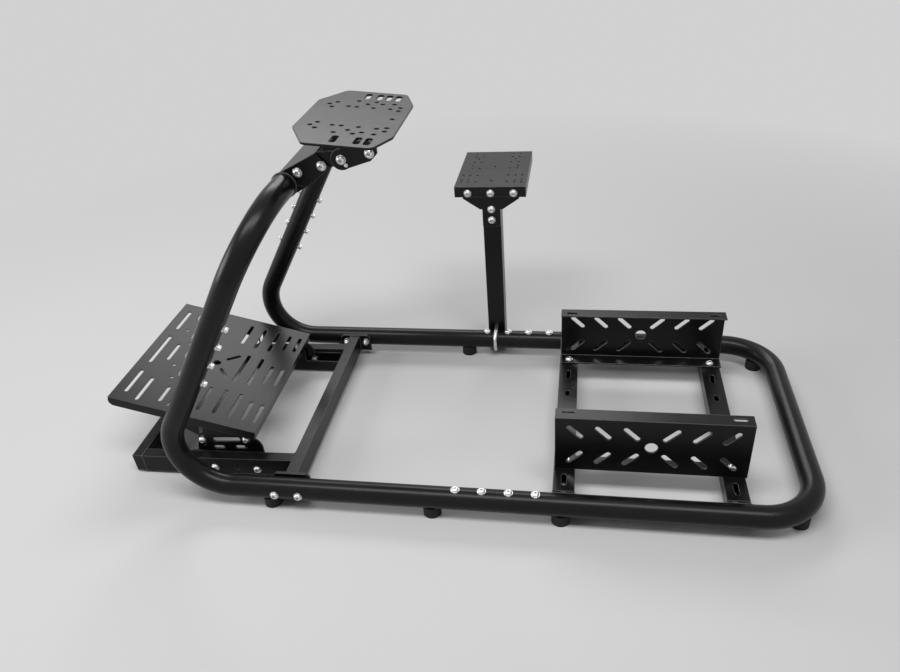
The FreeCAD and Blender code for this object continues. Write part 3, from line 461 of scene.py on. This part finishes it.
for side, word in SIDES:
    top = [(button_bolt, (x, side * SIDE_Y, TUBE_Z + TUBE_R), UP, {"low": SADDLE_DROP})
           for x in TUBE_BOLTS_X]
    fasteners(f"{word}_tube_bolts", top)

    middle = on_upright(SPLICE_Z, side * SIDE_Y)
    far_end = small_nut if side > 0 else flush_insert
    through = []
    for along in UPRIGHT_BOLTS:
        centre = middle + LEANING * along
        through.append((cap_bolt, centre + ACROSS * TUBE_R, ACROSS, {"low": SADDLE_DROP}))
        through.append((far_end, centre - ACROSS * TUBE_R, -ACROSS, {}))
    fasteners(f"{word}_upright_bolts", through)

    ends = cross_bolts(side, [(x, TUBE_Z) for x in CROSS_BEAM_BOLTS_X], SIDE_Y + TUBE_R,
                       CROSS_BEAM_END_Y, low=SADDLE_DROP)
    fasteners(f"{word}_cross_beam_bolts", ends)

    mount = cross_bolts(side, FLANGE_BOLTS, FLANGE_HEADS_Y, MOUNT_NUTS_Y)
    mount += cross_bolts(side, DECK_BOLTS, DECK_HEADS_Y, MOUNT_NUTS_Y)
    fasteners(f"{word}_wheel_mount_bolts", mount)
    stud_at = (STUD_X, side * DECK_HEADS_Y, STUD_Z)
    fasteners(f"{word}_wheel_ear_stud", [(stud, stud_at, (0, side, 0), {})], "wheel_deck")

    pedal = cross_bolts(side, PEDAL_BOLTS, PEDAL_HEADS_Y, PEDAL_NUTS_Y)
    fasteners(f"{word}_pedal_mount_bolts", pedal)

    rail = []
    for x, nut, values in RAIL_BOLTS:
        rail += cross_bolts(side, [(x, RAIL_BOLT_Z)], RAIL_OUT_Y, RAIL_NUTS_Y, nut, **values)
    fasteners(f"{word}_rail_bolts", rail)

    foot = []
    for x in SEAT_BEAMS_X:
        foot.append((button_bolt, (x, side * BRACKET_BOLTS_Y, BRACKET_HEADS_Z), UP, {}))
        foot.append((lock_nut, (x, side * BRACKET_BOLTS_Y, SEAT_BEAM_LOW_Z), DOWN, {}))
    fasteners(f"{word}_bracket_bolts", foot)

tee = [(button_bolt, (POST_X + x, TEE_HEADS_Y, TEE_BOLTS_Z), TO_LEFT, {})
       for x in TEE_BOLTS_SHIFT]
tee += [(button_bolt, (POST_X, POST_HEADS_Y, z), TO_LEFT, {}) for z in POST_BOLTS_Z]
fasteners("shifter_tee_bolts", tee)
clamp = [(lock_nut, (POST_X, CLAMP_NUTS_Y, z), TO_RIGHT, {"tail": 4.5}) for z in CLAMP_NUTS_Z]
fasteners("shifter_clamp_nuts", clamp)

# ---------------------------------------------------------------- weld beads

BEAD_R = 1.7
BEAD_SIDES = 8
BEAD_STEP = 1.6
BEAD_SMOOTH_BELOW = 60.0
RIPPLES = ((0.13, 2.1), (0.05, 0.37))  # share of the radius, and radians a step


def spread(points, step):
    """Points along a closed line of corners, evenly about one step apart."""
    out = []
    for start, end in zip(points, points[1:] + points[:1]):
        count = max(1, round((end - start).length / step))
        out += [start.lerp(end, index / count) for index in range(count)]
    return out


def bead(mesh, corners):
    """A rippled weld bead along a closed line of corners."""
    line = spread([Vector(corner) for corner in corners], BEAD_STEP)
    total = len(line)
    rings = []
    for index, at in enumerate(line):
        along = (line[(index + 1) % total] - line[index - 1]).normalized()
        first, second, _ = basis(along)
        size = BEAD_R * (1.0 + sum(share * math.sin(index * pace) for share, pace in RIPPLES))
        rings.append([mesh.verts.new((at + spoke(first, second, angle) * size) * MM)
                      for angle in angles(BEAD_SIDES)])
    for index, ring in enumerate(rings):
        following = rings[(index + 1) % total]
        shift = min(range(BEAD_SIDES),
                    key=lambda turn: (following[turn].co - ring[0].co).length)
        for step in range(BEAD_SIDES):
            mesh.faces.new((ring[step], ring[(step + 1) % BEAD_SIDES],
                            following[(step + 1 + shift) % BEAD_SIDES],
                            following[(step + shift) % BEAD_SIDES]))


def beads(name, loops):
    """One piece made of weld beads, each along a closed loop of corners."""
    mesh = bmesh.new()
    for corners in loops:
        bead(mesh, corners)
    piece(name, mesh, COAT, smooth=BEAD_SMOOTH_BELOW)


def tube_face_y(z):
    """Distance of the side tube's inner face from the middle plane at height z."""
    return SIDE_Y - math.sqrt(TUBE_R ** 2 - (z - TUBE_Z) ** 2)


def rectangle(low, high, first, second):
    """The four corners of a rectangle in order round it, as pairs of side and height."""
    return ((first, low), (first, high), (second, high), (second, low))


SEAT_BEAM_HALF = 20.0
SEAT_BEAM_TALL = 25.0
SEAT_WELD_STEPS = 8
CROSS_BEAM_FRONT_X, CROSS_BEAM_REAR_X = -312.5, -290.0
CROSS_BEAM_LOW_Z, CROSS_BEAM_TOP_Z = 14.4, 54.4
RAIL_IN_Y = 184.2
RAIL_END_LOW, RAIL_END_TOP = (-636.3, 5.4), (-637.4, 45.3)  # x and z where the front bar joins
CROWN_WELD_Y, CROWN_Z = 99.3, 588.0
CROWN_WELD_OUT = 0.6
CROWN_WELD_STEPS = 48

for side, word in SIDES:
    seat = []
    for x in SEAT_BEAMS_X:
        heights = [SEAT_BEAM_LOW_Z + SEAT_BEAM_TALL * index / SEAT_WELD_STEPS
                   for index in range(SEAT_WELD_STEPS + 1)]
        rising = [(x - SEAT_BEAM_HALF, side * tube_face_y(z), z) for z in heights]
        falling = [(x + SEAT_BEAM_HALF, side * tube_face_y(z), z) for z in reversed(heights)]
        seat.append(rising + falling)
    beads(f"{word}_seat_beam_welds", seat)

    beam_end = [(x, side * CROSS_BEAM_END_Y, z)
                for x, z in rectangle(CROSS_BEAM_LOW_Z, CROSS_BEAM_TOP_Z,
                                      CROSS_BEAM_FRONT_X, CROSS_BEAM_REAR_X)]
    rail_rear = [(CROSS_BEAM_FRONT_X, side * y, z)
                 for y, z in rectangle(CROSS_BEAM_LOW_Z, CROSS_BEAM_TOP_Z,
                                       RAIL_IN_Y, RAIL_OUT_Y)]
    rail_front = [(x, side * y, z)
                  for y, (x, z) in rectangle(RAIL_END_LOW, RAIL_END_TOP, RAIL_IN_Y, RAIL_OUT_Y)]
    beads(f"{word}_pedal_frame_welds", [beam_end, rail_rear, rail_front])

    crown = on_upright(CROWN_Z, side * CROWN_WELD_Y)
    ring = [crown + Vector((math.cos(angle), 0, math.sin(angle))) * (TUBE_R + CROWN_WELD_OUT)
            for angle in angles(CROWN_WELD_STEPS)]
    beads(f"{word}_crown_weld", [ring])

# ---------------------------------------------------------------- camera, floor and light

# The camera fitted to the photograph: place in metres, turn in degrees, focal length in pixels.
CAMERA_AT = (0.2427, -1.2476, 1.0568)
CAMERA_TURN = (11.62, 33.22, 5.0)
FOCAL_PX = 756.27
IMAGE_WIDE = 900
SENSOR = 36.0
CLIP_END = 60.0

FLOOR_HALF = 20.0
FLOOR_PARTS = 12
BACKDROP_START, BACKDROP_FULL = 0.9, 2.2  # distances at which the floor fades into the backdrop
BACKDROP_TONE = 0.64
BACKDROP_RAYS = ("Is Camera Ray", "Is Glossy Ray", "Is Transmission Ray")
WORLD_LIGHT = 0.12
WHITE = (1.0, 1.0, 1.0, 1.0)

# Each lamp's name, place, target and size in metres, and power in watts.
LAMPS = (("overhead", (0.0, -0.9, 2.9), (0.0, -0.2, 0.0), (3.2, 0.8), 62.0),
         ("back panel", (-0.5, 2.4, 2.3), (-0.2, 0.0, 0.3), (2.2, 0.9), 34.0),
         ("left panel", (-3.5, -0.7, 1.3), (-0.4, -0.1, 0.4), (2.0, 1.5), 56.0))


def sees_backdrop(tree):
    """1 for the rays that meet the backdrop at its own tone, and 0 for all other light."""
    path = tree.nodes.new("ShaderNodeLightPath")
    seen = path.outputs[BACKDROP_RAYS[0]]
    for ray in BACKDROP_RAYS[1:]:
        either = tree.nodes.new("ShaderNodeMath")
        either.operation = "MAXIMUM"
        tree.links.new(seen, either.inputs[0])
        tree.links.new(path.outputs[ray], either.inputs[1])
        seen = either.outputs["Value"]
    return seen


def floor_material():
    """A pale floor that keeps the shadows near the object and fades into an even backdrop."""
    dim, pale, none = (0.655, 0.655, 0.655), (0.685, 0.685, 0.685), (0.0, 0.0, 0.0)
    m = Tree("pale_floor")
    m.set(Roughness=0.85, Specular_IOR_Level=0.0, Emission_Color=WHITE)
    away = m.add("ShaderNodeVectorMath", operation="LENGTH")
    m.link(m.place, away.inputs[0])
    fade = m.remap(away.outputs["Value"], BACKDROP_START, BACKDROP_FULL, 0.0, 1.0)
    far = m.maths("MULTIPLY", sees_backdrop(m.tree), fade)
    cloud = m.noise(0.7, 3.0)
    tone = m.colours(m.remap(cloud, 0.3, 0.7, 0.0, 1.0), dim, pale)
    m.feed("Base Color", m.colours(far, tone, none))
    m.feed("Emission Strength", m.maths("MULTIPLY", far, BACKDROP_TONE))
    return m.material


def make_camera():
    """The camera, from its turn to the left, its tilt down and its roll, in degrees."""
    yaw, pitch, roll = (math.radians(value) for value in CAMERA_TURN)
    ahead = Vector((-math.sin(yaw) * math.cos(pitch), math.cos(yaw) * math.cos(pitch),
                    -math.sin(pitch)))
    level = ahead.cross(Vector((0, 0, 1))).normalized()
    down = ahead.cross(level)
    right = math.cos(roll) * level + math.sin(roll) * down
    up = math.sin(roll) * level - math.cos(roll) * down
    data = bpy.data.cameras.new("camera")
    data.sensor_fit = "HORIZONTAL"
    data.sensor_width = SENSOR
    data.lens = SENSOR * FOCAL_PX / IMAGE_WIDE
    data.clip_end = CLIP_END
    camera = bpy.data.objects.new("camera", data)
    bpy.context.scene.collection.objects.link(camera)
    turn = Matrix((right, up, -ahead)).transposed()
    camera.matrix_world = Matrix.Translation(CAMERA_AT) @ turn.to_4x4()
    bpy.context.scene.camera = camera


def make_world():
    """A surround of the backdrop's tone where it is seen, and a dim one to all other light."""
    world = bpy.data.worlds.new("surround")
    bpy.context.scene.world = world
    world.use_nodes = True
    tree = world.node_tree
    tree.nodes.clear()
    strength = tree.nodes.new("ShaderNodeMapRange")
    strength.inputs["To Min"].default_value = WORLD_LIGHT
    strength.inputs["To Max"].default_value = BACKDROP_TONE
    tree.links.new(sees_backdrop(tree), strength.inputs["Value"])
    background = tree.nodes.new("ShaderNodeBackground")
    background.inputs["Color"].default_value = WHITE
    tree.links.new(strength.outputs["Result"], background.inputs["Strength"])
    output = tree.nodes.new("ShaderNodeOutputWorld")
    tree.links.new(background.outputs["Background"], output.inputs["Surface"])


def make_floor():
    """The floor, wide enough to reach past the backdrop's start in every view."""
    grid = bmesh.new()
    bmesh.ops.create_grid(grid, x_segments=FLOOR_PARTS, y_segments=FLOOR_PARTS, size=FLOOR_HALF)
    mesh = bpy.data.meshes.new("floor")
    grid.to_mesh(mesh)
    grid.free()
    mesh.materials.append(floor_material())
    floor = bpy.data.objects.new("floor", mesh)
    bpy.context.scene.collection.objects.link(floor)


def area_light(name, at, target, size, power):
    """A rectangular studio lamp that faces its target."""
    data = bpy.data.lights.new(name, "AREA")
    data.shape = "RECTANGLE"
    data.size, data.size_y = size
    data.energy = power
    light = bpy.data.objects.new(name, data)
    bpy.context.scene.collection.objects.link(light)
    light.location = at
    aim = Vector(target) - Vector(at)
    light.rotation_euler = aim.to_track_quat("-Z", "Y").to_euler()


make_camera()
make_world()
make_floor()
for lamp in LAMPS:
    area_light(*lamp)

view = bpy.context.scene.view_settings
view.view_transform = "Standard"
